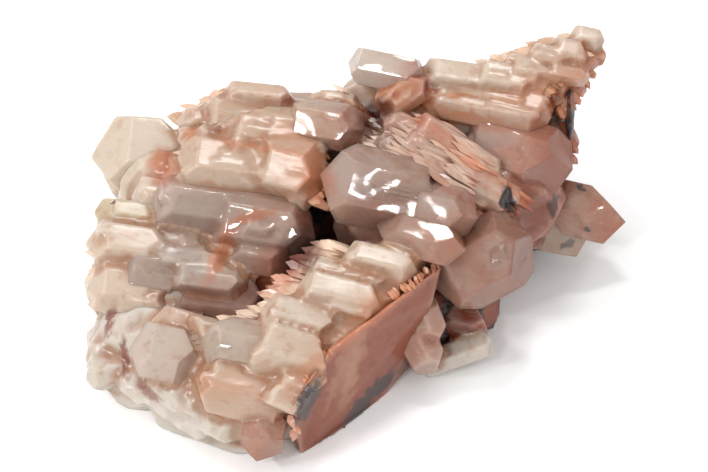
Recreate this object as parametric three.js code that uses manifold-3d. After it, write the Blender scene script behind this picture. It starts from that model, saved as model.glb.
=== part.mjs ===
// A calcite specimen: flat-faced crystals in parallel growth over a dark rock matrix.
// Millimetres, +Z up, standing on its flat broken underside, origin under the middle of its box.
import * as THREE from "three";
import { ConvexGeometry } from "three/addons/geometries/ConvexGeometry.js";
import { mergeVertices } from "three/addons/utils/BufferGeometryUtils.js";
import Module from "manifold-3d";

const wasm = await Module();
wasm.setup();

// Driving dimensions
const viewTilt = 45; // degrees above the table from which the display side is seen
const middleX = 0.1; // the specimen's middle, in the layout below
const middleY = -24.7;
const rockGap = 0.6; // added to the rock's radii where it is cut out of the crystals
const tidy = 0.05; // corners closer together than this are merged
const sideReach = 0.93; // a crystal's side faces, in radii from its axis
const sideTurn = 0.12; // how unevenly side faces are turned, in radians
const endTurn = 0.15; // the same for end faces
const sideShift = 0.09; // how unevenly side faces lie, as a share
const endShift = 0.05; // the same for end faces
const endLift = 0.12; // how unevenly end faces slant, as a share
const lumpPoints = 22; // corners of a broken lump
const lumpBulge = 0.08; // how uneven a lump is, as a share
const sideGap = 0.5; // clear space around the crystals that stand apart
const seed = 7; // starts for the fixed runs of numbers
const sideSeed = 19;
const bodySeed = 11;
const rockSeed = 3;

const calciteLook = new THREE.MeshStandardMaterial({ color: 0xd9b8a2, roughness: 0.3, metalness: 0 });
const redLook = new THREE.MeshStandardMaterial({ color: 0xd79a7c, roughness: 0.3, metalness: 0 });
const rockLook = new THREE.MeshStandardMaterial({ color: 0x4a4344, roughness: 0.8, metalness: 0 });

// The layout is read from the display side, seen from viewTilt above the table:
// across is to the right, up is up the picture, high is the height above the table.
const tilt = THREE.MathUtils.degToRad(viewTilt);
const right = new THREE.Vector3(1, 0, 0);
const upward = new THREE.Vector3(0, Math.sin(tilt), Math.cos(tilt));
const outward = new THREE.Vector3(0, -Math.cos(tilt), Math.sin(tilt));
const displayTurn = new THREE.Matrix4().makeBasis(right, upward, outward);

function placeOf(across, up, high) {
  const depth = (up - high * Math.cos(tilt)) / Math.sin(tilt);
  return new THREE.Vector3(across - middleX, depth - middleY, high);
}

// Large crystals: across, up, high of the middle; length, width, thickness; turn, lean, roll; point.
// The long axis runs to the right, turned down by turn and towards the viewer by lean.
// Point is the angle between the end faces and the flat across the axis.
const ridgeCrystals = {
  leftPale: [-52, 19.6, 25, 31, 22.5, 18, 4, 0, 0, 52],
  topLong: [-24, 35.8, 46, 18.5, 8, 9, 6, 5, 0, 40],
  secondLong: [-26.5, 30.6, 42, 24, 10, 11, 7, 0, 20, 40],
  pinkPoint: [-7.6, 28.9, 46, 21, 12, 11, 9, 22, 30, 42],
  smallBehind: [-5.8, 35, 46, 9, 5, 6, 6, 0, 0, 40],
  tallPale: [7.8, 42, 52, 20.5, 9.5, 11, 12, 10, 0, 38],
  tallRed: [11, 37, 47, 13, 9, 10, 14, 25, 30, 45],
  paleBlock: [25.5, 40.1, 49, 20, 10, 12, 8, 0, 0, 35],
  blockRight: [37.3, 40, 50, 18, 10, 11, 10, 5, 0, 35],
  crestLow: [42.3, 42, 51, 13, 9, 10, 12, 5, 0, 40],
  crestMiddle: [48, 44.5, 52, 12, 9, 9, 14, 5, 0, 40],
  crestHigh: [53, 46.2, 53, 11, 9, 8, 14, 5, 0, 40],
  crestTip: [58, 50.8, 55, 9.5, 6, 6, 12, 5, 0, 35],
  tipSide: [61, 46, 51, 5, 4.5, 4.5, 70, 0, 0, 50],
  sideStepHigh: [54.6, 39.6, 47, 9, 6, 8, 40, 10, 0, 50],
  sideStepLow: [51, 34.5, 43, 8, 6, 8, 45, 10, 0, 50],
  orangeRidge: [33.5, 33.4, 45, 32, 13, 13, 12, 8, 0, 35],
  bigRight: [39.3, 21.2, 37, 34, 21, 17, 13, 24, 30, 42],
  behindRight: [50.5, 26.5, 34, 13, 8, 8, 20, 0, 0, 45],
  slantHigh: [16, 25.5, 43, 22, 8, 9, 30, 5, 0, 40],
  slantLong: [24.8, 22.6, 42, 28, 8, 9, 33, 5, 10, 40],
  slantMiddle: [21, 18.5, 41, 26, 8, 9, 33, 5, 0, 40],
  slantLow: [28.5, 16.5, 39, 24, 9, 9, 35, 5, 0, 40],
  slantEnd: [34, 12, 34, 16, 8, 8, 38, 8, 0, 45],
  bigCentre: [6, 12.6, 41, 31, 20, 17, 12, -12, 30, 38],
  centreRight: [21, 7.1, 39, 20, 13, 13, 12, 18, 30, 42],
  frontRound: [16, 0.6, 37, 23, 10, 11, 16, 15, 0, 50],
  frontHigh: [6, -5.6, 33, 19, 8.5, 10, 14, 5, 0, 38],
  frontThin: [-1.5, -8.4, 31, 21, 6.5, 9, 15, 5, 0, 38],
  frontPale: [-4, -14.4, 29, 22, 12, 12, 14, 5, 0, 38],
  frontMiddle: [-14, -19.4, 27, 20, 10, 12, 16, 0, 0, 40],
  frontLow: [-16.5, -27.4, 24, 22, 14, 14, 18, 0, 0, 38],
  frontClear: [-27.8, -26, 24, 21, 14, 12, 10, 0, 30, 42],
  frontBase: [-26.5, -36, 17, 26, 17, 15, 14, 0, 0, 35],
  paleRound: [-46.5, -28, 21, 18, 15, 12, 12, 0, 0, 40],
  paleRoundBack: [-42.5, -22, 20, 17, 11, 10, 16, 0, 0, 42],
  frontKnob: [-22.5, -46.6, 10, 14, 13, 12, 50, 0, 0, 42],
  bigBrown: [30.8, -5, 27, 29, 20, 17, -28, 12, 30, 42],
  darkRed: [41.5, 4.5, 16, 17, 14, 12, 10, 0, 0, 42],
  darkRedHigh: [37, 4, 22, 14, 12, 12, 20, 0, 0, 42],
  redLow: [26.8, -20.4, 9, 13, 9, 9, 15, 0, 0, 42],
  pinkLow: [16, -26, 11, 16, 10, 10, 60, 0, 0, 42],
  pinkMiddle: [17, -20, 16, 14, 10, 10, 70, 0, 0, 42],
  greySlab: [24.8, -28.4, 4.5, 20, 7, 9, -20, 0, 0, 30],
  underBlock: [-34.5, -15, 16, 25, 15, 14, 6, 0, 0, 32],
  greyBig: [-37.8, 8, 31, 27, 15, 14, 8, 0, 0, 36],
  greyOver: [-22.8, 3, 30, 27, 17, 14, 10, 10, 30, 42],
  greyMiddle: [-23, -3, 25, 20, 13, 13, 12, 15, 0, 42],
  leftLobe: [-57, -2.4, 25, 22, 14, 12, 8, 0, 0, 45],
  leftLobeLow: [-57.5, -13, 19, 20, 13, 12, 5, 0, 0, 45],
  leftLobeInner: [-50, -8.6, 22, 20, 13, 12, 8, 0, 20, 42],
  leftYellow: [-55.5, 5.6, 27, 20, 9, 10, 6, 0, 0, 45],
  creamLong: [-30, 18, 37, 30, 15, 14, 8, 0, 0, 36],
  creamLeft: [-41.5, 17, 32, 24, 13, 12, 8, 0, 0, 38],
  creamRight: [-16, 17, 40, 20, 16, 13, 12, 20, 30, 42],
  creamUpper: [-39, 26, 36, 24, 12, 12, 6, 0, 0, 38],
  creamTop: [-21.5, 25, 41, 24, 12, 12, 8, 0, 0, 38],
  creamLow: [-46.5, 10, 29, 20, 11, 11, 8, 0, 0, 40],
};

// The crystals at the right end, which stand apart on the rock.
const sideCrystals = {
  sidePoint: [59.3, 6.4, 17, 21, 15, 12, 26, 5, 0, 44],
  sidePale: [50, 4.6, 13, 16, 14, 11, 10, 0, 0, 42],
};

// Rows of small sharp crystals, from one end of an edge to the other: across, up, high, twice;
// then how many, length, width, thickness, turn. The second table says how much they vary.
const fringes = {
  leftStair: [[-46, 28.4, 36], [-35, 35.4, 42], 5, 11, 4.4, 5, 6],
  crestStair: [[33, 42.8, 50], [55, 48.8, 54], 7, 11, 5, 6, 12],
  underTall: [[-4, 37, 46], [5, 28, 40], 6, 11, 4, 6, 20],
  creviceComb: [[-1, 23, 39], [10, 31, 42], 7, 12, 4, 6, 22],
  frontComb: [[-21, -17, 25], [-13, -8, 28], 6, 11, 4, 6, 18],
  frontCombLow: [[-30, -20, 21], [-20, -17, 25], 4, 11, 4, 6, 18],
  leftSteps: [[-60, 8, 27], [-62.5, -4, 23], 4, 9, 5, 6, 8],
  leftStepsLow: [[-63.5, -6, 21], [-62, -17, 16], 4, 9, 5, 6, 8],
  redTips: [[20, -7, 32], [2, -19, 30], 7, 8, 4.4, 6, 50],
  redTipsLow: [[0, -21, 29], [-14, -35, 23], 6, 7, 4.2, 5, 50],
  orangeTips: [[-15, -2, 24], [-22, -15, 18], 5, 8, 4.5, 6, 60],
};

const fringeSpread = { length: 0.3, width: 0.25, thickness: 0.2, turn: 8, lean: 14, roll: 60, across: 1.5 };

// The smooth red break at the front right: its corners, across, up, high, and how thick it is.
const breakDepth = 17;
const breakCorners = {
  topRight: [21, -6.4, 32],
  rightEdge: [19, -15, 24],
  footRight: [13, -31.9, 0],
  footMiddle: [7.2, -38.4, 0],
  footLeft: [-2.8, -46.4, 0],
  footEnd: [-13.5, -52.5, 0],
  leftTop: [-16.5, -39.9, 22],
  topMiddle: [-6.5, -25.9, 28.5],
};

// Crystals on the far side: middle across, back and high, then as for the large ones.
const farCrystals = {
  farLeft: [-55, 10, 13, 20, 15, 13, 5, 0, 10, 42],
  farLeftLow: [-44, 17, 9, 18, 13, 12, -20, 0, 0, 42],
  farSlope: [-34, 18, 16, 22, 14, 12, 8, -15, 20, 40],
  farRidge: [-16, 20, 20, 24, 14, 13, 6, -10, 0, 40],
  farMiddle: [3, 22, 27, 20, 14, 13, 10, -20, 30, 42],
  farBlock: [20, 24, 24, 24, 15, 13, 8, -10, 0, 38],
  farHigh: [36, 22, 32, 20, 13, 12, 12, -15, 10, 42],
  farEnd: [45, 21, 30, 15, 12, 11, 16, 0, 0, 42],
};

// Massive calcite that the crystals grow from: middle x, y, z, then its three radii.
const calciteBody = {
  leftBase: [-49, -46, 7, 18, 17, 14],
  frontCorner: [-31, -61, 7, 21, 15, 13],
  frontRidge: [-15, -52, 12, 19, 12, 16],
  frontRidgeHigh: [6, -37, 16, 14, 12, 15],
  ridgeFoot: [-44, -26, 12, 23, 19, 17],
  ridgeMiddle: [-36, -8, 20, 26, 17, 18],
  ridgeTop: [-22, 6, 27, 24, 13, 17],
  centre: [12, -14, 24, 18, 15, 17],
  rightSide: [34, -9, 25, 18, 13, 15],
  backRidge: [18, 8, 32, 28, 12, 17],
  highRight: [42, 13, 38, 13, 9, 14],
  leftShoulder: [-49.5, -4, 22.5, 11, 10, 11],
};

// The rock under the crystals, as middle x, y, z and radii.
const rockBody = {
  front: [-4, -26, 3, 34, 24, 9],
  rightFoot: [17, -25, 5, 20, 18, 12],
  rightSide: [36, 5, 12, 17, 18, 19],
  backFoot: [8, 12, 8, 34, 20, 16],
  leftFoot: [-30, 2, 6, 32, 20, 12],
  rightBack: [47, 12, 27, 8, 9, 14],
};

// A run of numbers from 0 to 1 that is the same each time.
function numbersFrom(start) {
  const factor = 1664525;
  const step = 1013904223;
  const range = 2 ** 32;
  let state = start;
  return () => {
    state = (state * factor + step) % range;
    return state / range;
  };
}

function around(random, width) {
  return (random() - 0.5) * width;
}

function spread(random, amount) {
  return 1 + around(random, 2 * amount);
}

// The corners of the convex body that lies behind every plane.
function cornersInside(planes) {
  const parallel = 1e-4;
  const slack = 1e-6;
  const sameCorner = 0.02;
  const corners = [];
  const spot = new THREE.Vector3();
  for (let i = 0; i < planes.length; i++)
    for (let j = i + 1; j < planes.length; j++)
      for (let k = j + 1; k < planes.length; k++) {
        const [a, b, c] = [planes[i], planes[j], planes[k]];
        const bc = b.normal.clone().cross(c.normal);
        const share = a.normal.dot(bc);
        if (Math.abs(share) < parallel) continue;
        spot.copy(bc).multiplyScalar(a.reach);
        spot.addScaledVector(c.normal.clone().cross(a.normal), b.reach);
        spot.addScaledVector(a.normal.clone().cross(b.normal), c.reach);
        spot.divideScalar(share);
        if (planes.some((p) => p.normal.dot(spot) > p.reach + slack)) continue;
        if (corners.some((p) => p.distanceTo(spot) < sameCorner)) continue;
        corners.push(spot.clone());
      }
  return corners;
}

// The three faces at each end of a crystal that lies along x. Half its length is in radii.
function endPlanes(halfLength, pitch, random) {
  const planes = [];
  for (const end of [1, -1])
    for (let face = 0; face < 3; face++) {
      const angle = (face * 2 * Math.PI) / 3 + (end < 0 ? Math.PI / 3 : 0) + around(random, endTurn);
      const lift = pitch * spread(random, endLift);
      const normal = new THREE.Vector3(
        end * Math.cos(lift),
        Math.sin(lift) * Math.cos(angle),
        Math.sin(lift) * Math.sin(angle),
      );
      planes.push({ normal, reach: halfLength * Math.cos(lift) * spread(random, endShift) });
    }
  return planes;
}

// A six-sided prism closed by its end faces.
function crystalCorners(halfLength, point, random) {
  const planes = [];
  for (let side = 0; side < 6; side++) {
    const angle = (side * Math.PI) / 3 + around(random, sideTurn);
    const normal = new THREE.Vector3(0, Math.cos(angle), Math.sin(angle));
    planes.push({ normal, reach: sideReach * spread(random, sideShift) });
  }
  planes.push(...endPlanes(halfLength, THREE.MathUtils.degToRad(point), random));
  return cornersInside(planes);
}

// A small sharp crystal: end faces alone, as steep as its length asks for.
function toothCorners(halfLength, random) {
  return cornersInside(endPlanes(halfLength, Math.atan(halfLength), random));
}

// A solid that can be joined and cut, from a closed geometry.
function solidOf(geometry) {
  geometry.deleteAttribute("normal");
  geometry.deleteAttribute("uv");
  const merged = mergeVertices(geometry, 1e-4);
  return new wasm.Manifold(
    new wasm.Mesh({
      numProp: 3,
      vertProperties: merged.attributes.position.array,
      triVerts: new Uint32Array(merged.index.array),
    }),
  );
}

// A crystal in its place. Without a point it is a sharp one.
function crystalAt(place, [length, width, thickness, turn, lean, roll, point], random) {
  const radius = (width + thickness) / 4;
  const toRadians = THREE.MathUtils.degToRad;
  const stand = new THREE.Matrix4()
    .setPosition(place)
    .multiply(displayTurn)
    .multiply(new THREE.Matrix4().makeRotationZ(-toRadians(turn)))
    .multiply(new THREE.Matrix4().makeRotationY(-toRadians(lean)))
    .multiply(new THREE.Matrix4().makeScale(radius, width / 2, thickness / 2))
    .multiply(new THREE.Matrix4().makeRotationX(toRadians(roll)));
  const halfLength = length / 2 / radius;
  const corners = point ? crystalCorners(halfLength, point, random) : toothCorners(halfLength, random);
  return solidOf(new ConvexGeometry(corners.map((corner) => corner.applyMatrix4(stand))));
}

// The crystals of a table, each grown by extra all round.
function laidOut(crystals, random, extra = 0) {
  return Object.values(crystals).map(([across, up, high, length, width, thickness, ...stand]) => {
    const form = [length + 3 * extra, width + 2 * extra, thickness + 2 * extra, ...stand];
    return crystalAt(placeOf(across, up, high), form, random);
  });
}

function farSolids(random) {
  return Object.values(farCrystals).map(([x, y, z, ...form]) =>
    crystalAt(new THREE.Vector3(x - middleX, y - middleY, z), form, random),
  );
}

function fringeSolids(random) {
  return Object.values(fringes).flatMap(([from, to, count, length, width, thickness, turn]) =>
    Array.from({ length: count }, (_, n) => {
      const along = (n + 0.5) / count;
      const [across, up, high] = from.map((value, axis) => value + (to[axis] - value) * along);
      const form = [
        length * spread(random, fringeSpread.length),
        width * spread(random, fringeSpread.width),
        thickness * spread(random, fringeSpread.thickness),
        turn + around(random, fringeSpread.turn),
        around(random, fringeSpread.lean),
        random() * fringeSpread.roll,
      ];
      const out = around(random, fringeSpread.across);
      return crystalAt(placeOf(across + out, up, high), form, random);
    }),
  );
}

// The break is the hull of its corners and of the same corners moved back.
function breakSolid() {
  const into = new THREE.Vector3(-Math.SQRT1_2, Math.SQRT1_2, 0).multiplyScalar(breakDepth);
  const face = Object.values(breakCorners).map((corner) => placeOf(...corner));
  const back = face.map((corner) => corner.clone().add(into));
  return solidOf(new ConvexGeometry([...face, ...back]));
}

// A broken lump: the hull of points that wind down an ellipsoid, each a golden angle on.
function lumpAt([x, y, z, ...radii], extra, random) {
  const goldenAngle = Math.PI * (3 - Math.sqrt(5));
  const points = Array.from({ length: lumpPoints }, (_, n) => {
    const rise = 1 - (2 * (n + 0.5)) / lumpPoints;
    const angle = n * goldenAngle + random() / 2;
    const level = Math.sqrt(1 - rise * rise);
    const bulge = spread(random, lumpBulge);
    return new THREE.Vector3(
      x - middleX + Math.cos(angle) * level * (radii[0] * bulge + extra),
      y - middleY + Math.sin(angle) * level * (radii[1] * bulge + extra),
      z + rise * (radii[2] * bulge + extra),
    );
  });
  return solidOf(new ConvexGeometry(points));
}

function lumpSolids(body, extra, start) {
  const random = numbersFrom(start);
  return Object.values(body).map((lump) => lumpAt(lump, extra, random));
}

// The room below the table, wider than the specimen.
function underTable() {
  const depth = 100;
  return solidOf(new THREE.BoxGeometry(4 * depth, 4 * depth, depth).translate(0, 0, -depth / 2));
}

function meshOf(name, solid, look) {
  const { vertProperties, triVerts } = solid.getMesh();
  const geometry = new THREE.BufferGeometry();
  geometry.setAttribute("position", new THREE.BufferAttribute(vertProperties, 3));
  geometry.setIndex(new THREE.BufferAttribute(triVerts, 1));
  geometry.computeVertexNormals();
  const mesh = new THREE.Mesh(geometry, look);
  mesh.name = name;
  return mesh;
}

const random = numbersFrom(seed);
const below = underTable();
const rock = wasm.Manifold.union(lumpSolids(rockBody, 0, rockSeed)).subtract(below);
const rockRoom = wasm.Manifold.union(lumpSolids(rockBody, rockGap, rockSeed));
const sideRoom = wasm.Manifold.union(laidOut(sideCrystals, numbersFrom(sideSeed), sideGap));
const grown = wasm.Manifold.union([
  ...laidOut(ridgeCrystals, random),
  ...farSolids(random),
  ...fringeSolids(random),
  ...lumpSolids(calciteBody, 0, bodySeed),
  breakSolid(),
])
  .subtract(rockRoom)
  .subtract(sideRoom)
  .subtract(below);

// Scraps that the cuts leave loose are dropped: only the largest piece is kept.
const [cluster] = grown.simplify(tidy).decompose().sort((a, b) => b.volume() - a.volume());
const side = wasm.Manifold.union(laidOut(sideCrystals, numbersFrom(sideSeed)))
  .subtract(rockRoom)
  .subtract(below);

const specimen = new THREE.Group();
specimen.add(meshOf("crystal_cluster", cluster, calciteLook));
specimen.add(meshOf("side_crystal", side, redLook));
specimen.add(meshOf("matrix", rock.simplify(tidy), rockLook));

export default specimen;
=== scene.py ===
import bpy
import math
import random
import numpy as np
from mathutils import Matrix, Vector


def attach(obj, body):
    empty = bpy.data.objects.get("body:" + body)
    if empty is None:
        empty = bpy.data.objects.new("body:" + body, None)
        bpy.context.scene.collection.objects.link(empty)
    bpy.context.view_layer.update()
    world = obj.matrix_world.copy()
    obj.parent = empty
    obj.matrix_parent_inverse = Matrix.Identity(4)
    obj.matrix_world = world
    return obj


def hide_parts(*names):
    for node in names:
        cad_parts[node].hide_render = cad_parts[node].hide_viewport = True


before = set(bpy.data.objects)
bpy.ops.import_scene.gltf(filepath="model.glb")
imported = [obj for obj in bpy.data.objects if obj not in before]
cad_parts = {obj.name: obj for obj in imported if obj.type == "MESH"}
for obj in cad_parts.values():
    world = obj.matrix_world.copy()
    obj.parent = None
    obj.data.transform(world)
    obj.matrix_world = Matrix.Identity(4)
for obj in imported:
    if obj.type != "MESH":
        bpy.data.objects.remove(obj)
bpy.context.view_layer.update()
mm = 0.001

# The display side is laid out as it is seen from 45 degrees above the table, in millimetres:
# across to the right, up the picture, and high above the table.
layout = {"tilt": math.radians(45), "middleX": 0.1, "middleY": -24.7}

rightWay = Vector((1, 0, 0))
upWay = Vector((0, math.sin(layout["tilt"]), math.cos(layout["tilt"])))
outWay = Vector((0, -math.cos(layout["tilt"]), math.sin(layout["tilt"])))
displayTurn = Matrix((rightWay, upWay, outWay)).transposed().to_4x4()


def placeOf(across, up, high):
    depth = (up - high * math.cos(layout["tilt"])) / math.sin(layout["tilt"])
    return Vector((across - layout["middleX"], depth - layout["middleY"], high)) * mm


def backPlace(x, y, z):
    return Vector((x - layout["middleX"], y - layout["middleY"], z)) * mm


def deselect():
    bpy.ops.object.select_all(action="DESELECT")


# Deals the same numbers as the plain part, so that the main crystals get the same faces
class FaceDice:
    def __init__(self, seed):
        self.state = seed

    def random(self):
        self.state = (self.state * 1664525 + 1013904223) % 2**32
        return self.state / 2**32


def around(dice, width):
    return (dice.random() - 0.5) * width


def spread(dice, amount):
    return 1 + around(dice, 2 * amount)


# Colours as a screen shows them
def tint(red, green, blue):
    return tuple(((c / 255 + 0.055) / 1.055) ** 2.4 for c in (red, green, blue))


hues = {
    "cream": tint(230, 212, 196),
    "beige": tint(220, 194, 174),
    "milk": tint(228, 222, 212),
    "core": tint(244, 230, 220),
    "ivory": tint(234, 222, 208),
    "lavender": tint(212, 198, 194),
    "white": tint(240, 236, 232),
    "peach": tint(226, 182, 156),
    "yellow": tint(218, 204, 178),
    "grey": tint(192, 178, 170),
    "greyPink": tint(200, 174, 162),
    "pink": tint(212, 166, 150),
    "brownPink": tint(186, 138, 122),
    "orange": tint(216, 158, 126),
    "rust": tint(212, 134, 94),
    "terracotta": tint(194, 122, 98),
    "red": tint(150, 82, 62),
    "deepRed": tint(104, 48, 38),
    "wall": tint(162, 104, 86),
    "dark": tint(52, 40, 40),
    "slate": tint(80, 80, 86),
    "base": tint(230, 224, 218),
}


# How uneven a crystal is: its sides and its ends, where turns are in radians and the rest are shares
habit = {
    "sideReach": 0.93,
    "sideTurn": 0.12,
    "sideUneven": 0.09,
    "endTurn": 0.15,
    "endLift": 0.12,
    "endUneven": 0.05,
}


# The faces of a crystal that lies along x: six sides, and three at each end. Half its length is in radii.
def crystalFaces(halfLength, point, dice):
    faces = []
    for side in range(6):
        angle = side * math.pi / 3 + around(dice, habit["sideTurn"])
        reach = habit["sideReach"] * spread(dice, habit["sideUneven"])
        faces.append((Vector((0, math.cos(angle), math.sin(angle))), reach))
    for end in (1, -1):
        for face in range(3):
            angle = face * 2 * math.pi / 3 + (math.pi / 3 if end < 0 else 0) + around(dice, habit["endTurn"])
            lift = math.radians(point) * spread(dice, habit["endLift"])
            out = math.sin(lift)
            normal = Vector((end * math.cos(lift), out * math.cos(angle), out * math.sin(angle)))
            faces.append((normal, halfLength * math.cos(lift) * spread(dice, habit["endUneven"])))
    return faces


# Cuts the active object at planes, each a spot and a way out, takes off what lies out and closes the cuts
def cutAt(planes, keepOuter=False):
    bpy.ops.object.mode_set(mode="EDIT")
    for spot, way in planes:
        bpy.ops.mesh.select_all(action="SELECT")
        bpy.ops.mesh.bisect(
            plane_co=spot,
            plane_no=way,
            use_fill=True,
            clear_outer=not keepOuter,
            clear_inner=keepOuter,
        )
    bpy.ops.object.mode_set(mode="OBJECT")


# A block, larger than the crystal, cut down to those faces
def cutCrystal(halfLength, faces):
    deselect()
    bpy.ops.mesh.primitive_cube_add(size=max(2, halfLength) * 2.6)
    cutAt([(normal * reach, normal) for normal, reach in faces])
    return bpy.context.object


def rotation(degrees, axis):
    return Matrix.Rotation(math.radians(degrees), 4, axis)


def turnOf(turn, lean):
    return displayTurn @ rotation(-turn, "Z") @ rotation(-lean, "Y")


# Where a crystal stands, and half its length in radii
def standOf(place, form):
    length, width, thickness, turn, lean, roll = form[:6]
    radius = (width + thickness) / 4
    size = Matrix.Diagonal((radius * mm, width / 2 * mm, thickness / 2 * mm, 1))
    stand = Matrix.Translation(place) @ turnOf(turn, lean) @ size @ rotation(roll, "X")
    return stand, length / 2 / radius


# What has grown so far in the group being made
cloudy = []
clear = []


# A lump and a slab have no faces here, and one colour
def addTo(pile, piece, stand, reach, body, tip, faces=None, halfLength=1):
    pile.append({
        "piece": piece,
        "stand": stand,
        "reach": reach,
        "body": hues[body],
        "tip": hues[tip],
        "faces": faces,
        "halfLength": halfLength,
    })


def growCrystal(pile, place, form, body, tip, dice, faces=None, scale=1):
    stand, halfLength = standOf(place, form)
    faces = faces or crystalFaces(halfLength, form[6], dice)
    faces = [(normal, reach * scale) for normal, reach in faces]
    crystal = cutCrystal(halfLength, faces)
    crystal.matrix_world = stand
    addTo(pile, crystal, stand, min(form[1], form[2]) / 2, body, tip, faces, halfLength)


# Ribs: how wide at least and at most in millimetres, how long at least and at most as shares of the crystal,
# from where to where around it they stand and how much they turn in degrees, how thick for their width,
# over what share of the length they spread, and how far they stand out of a cloudy crystal
ribs = {
    "thin": 1.8,
    "wide": 4.0,
    "short": 0.3,
    "long": 0.75,
    "from": 25,
    "to": 155,
    "turn": 3,
    "thickness": 1.3,
    "spread": 0.95,
    "proud": 0.7,
}


# Thin crystals that stand a little proud of a larger one, turned the same way, on the side that faces out
def growRibs(pile, place, form, body, tip, count, proud, wide, dice):
    length, width, thickness, turn, lean = form[:5]
    along = turnOf(turn, lean)
    for n in range(count):
        ribWidth = (ribs["thin"] + (ribs["wide"] - ribs["thin"]) * dice.random()) * wide
        ribLength = length * (ribs["short"] + (ribs["long"] - ribs["short"]) * dice.random())
        ribThickness = ribWidth * ribs["thickness"]
        rib = [ribLength, ribWidth, ribThickness, turn + around(dice, ribs["turn"]), lean, 0, form[6]]
        angle = math.radians(ribs["from"] + (ribs["to"] - ribs["from"]) * (n + dice.random()) / count)
        out = habit["sideReach"] - (ribThickness / 2 - proud * dice.random()) / (thickness / 2)
        shift = Vector((
            around(dice, length - ribLength) * ribs["spread"],
            math.cos(angle) * out * width / 2,
            math.sin(angle) * out * thickness / 2,
        ))
        growCrystal(pile, place + (along @ shift) * mm, rib, body, tip, dice)


# A rounded lump of massive calcite or rock
def growLump(place, radii, body, dice, uneven=0.08, cuts=()):
    deselect()
    bpy.ops.mesh.primitive_ico_sphere_add(subdivisions=3, radius=1)
    lump = bpy.context.object
    bpy.ops.object.mode_set(mode="EDIT")
    bpy.ops.transform.vertex_random(offset=uneven, uniform=0.5, normal=0.5, seed=dice.randrange(1000))
    bpy.ops.object.mode_set(mode="OBJECT")
    stand = Matrix.Translation(place) @ Matrix.Diagonal((radii[0] * mm, radii[1] * mm, radii[2] * mm, 1))
    lump.matrix_world = stand
    bpy.ops.object.transform_apply(location=True, rotation=True, scale=True)
    cutAt([(backPlace(*cut[:3]), cut[3:]) for cut in cuts])
    addTo(cloudy, lump, stand, min(radii), body, body)


# How much the crystals of a row differ: sizes as shares, turns in degrees and places in millimetres
rowHabit = {
    "length": 0.3,
    "width": 0.25,
    "thickness": 0.2,
    "infillTurn": 6,
    "bladeTurn": 12,
    "lean": 14,
    "roll": 60,
    "point": 40,
    "across": 1.5,
    "up": 0.8,
}


# A row of like crystals from one place to another, each a little different
def rowForms(row, dice, wobble):
    start, end, count, length, width, thickness, turn = row[:7]
    for n in range(count):
        share = (n + 0.5) / count
        across, up, high = (a + (b - a) * share for a, b in zip(start, end))
        form = [
            length * spread(dice, rowHabit["length"]),
            width * spread(dice, rowHabit["width"]),
            thickness * spread(dice, rowHabit["thickness"]),
            turn + around(dice, wobble),
            around(dice, rowHabit["lean"]),
            dice.random() * rowHabit["roll"],
            rowHabit["point"],
        ]
        across += around(dice, rowHabit["across"])
        up += around(dice, rowHabit["up"])
        yield placeOf(across, up, high), form


# The thin blades of the combs are copies of a few masters, whose half length is in radii
bladeForm = {"masters": 4, "halfLength": 3, "point": 60, "pointStep": 4, "shade": 0.12}
bladeMasters = []


def makeBladeMasters():
    dice = random.Random("blades")
    half = bladeForm["halfLength"]
    for n in range(bladeForm["masters"]):
        blade = cutCrystal(half, crystalFaces(half, bladeForm["point"] + bladeForm["pointStep"] * n, dice))
        blade.name = "bladeMaster"
        bladeMasters.append(blade)


def growBlades(name, rows, dice, material):
    blades = []
    half = bladeForm["halfLength"]
    for row in rows.values():
        for place, form in rowForms(row, dice, rowHabit["bladeTurn"]):
            blade = dice.choice(bladeMasters).copy()
            blade.data = blade.data.copy()
            bpy.context.collection.objects.link(blade)
            size = Matrix.Diagonal((form[0] / 2 / half * mm, form[1] / 2 * mm, form[2] / 2 * mm, 1))
            paintAlong(blade.data, half, hues[row[7]], hues[row[8]], spread(dice, bladeForm["shade"]))
            stand = Matrix.Translation(place) @ turnOf(form[3], form[4])
            blade.matrix_world = stand @ size @ rotation(form[5], "X")
            blades.append(blade)
    settle(joined(blades), name, "crystal_cluster", material)


def writeTone(mesh, colours):
    tone = mesh.attributes.new("tone", "FLOAT_COLOR", "POINT")
    tone.data.foreach_set("color", np.c_[colours, np.ones(len(colours))].astype(np.float32).ravel())


# Gives each corner the colour of the body or of the tip, by how far along the crystal it is
def paintAlong(mesh, halfLength, body, tip, shade=1.0):
    spots = np.empty(len(mesh.vertices) * 3)
    mesh.vertices.foreach_get("co", spots)
    share = np.clip(spots[::3] / halfLength, 0, 1)[:, None]
    writeTone(mesh, (np.array(body) * (1 - share) + np.array(tip) * share) * shade)


def joined(pieces):
    deselect()
    for piece in pieces:
        piece.select_set(True)
    bpy.context.view_layer.objects.active = pieces[0]
    bpy.ops.object.join()
    bpy.ops.object.transform_apply(location=True, rotation=True, scale=True)
    return pieces[0]


def settle(piece, name, node, material):
    piece.name = name
    piece.data.materials.clear()
    piece.data.materials.append(material)
    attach(piece, "root")
    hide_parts(node)
    print(name, "faces:", len(piece.data.polygons))


def skinOver(group, grain):
    skin = group.modifiers.new("skin", "REMESH")
    skin.mode = "VOXEL"
    skin.voxel_size = grain * mm
    bpy.ops.object.modifier_apply(modifier="skin")


def swell(group, amount):
    swelling = group.modifiers.new("swelling", "DISPLACE")
    swelling.strength = amount * mm
    swelling.mid_level = 0
    bpy.ops.object.modifier_apply(modifier="swelling")
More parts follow.
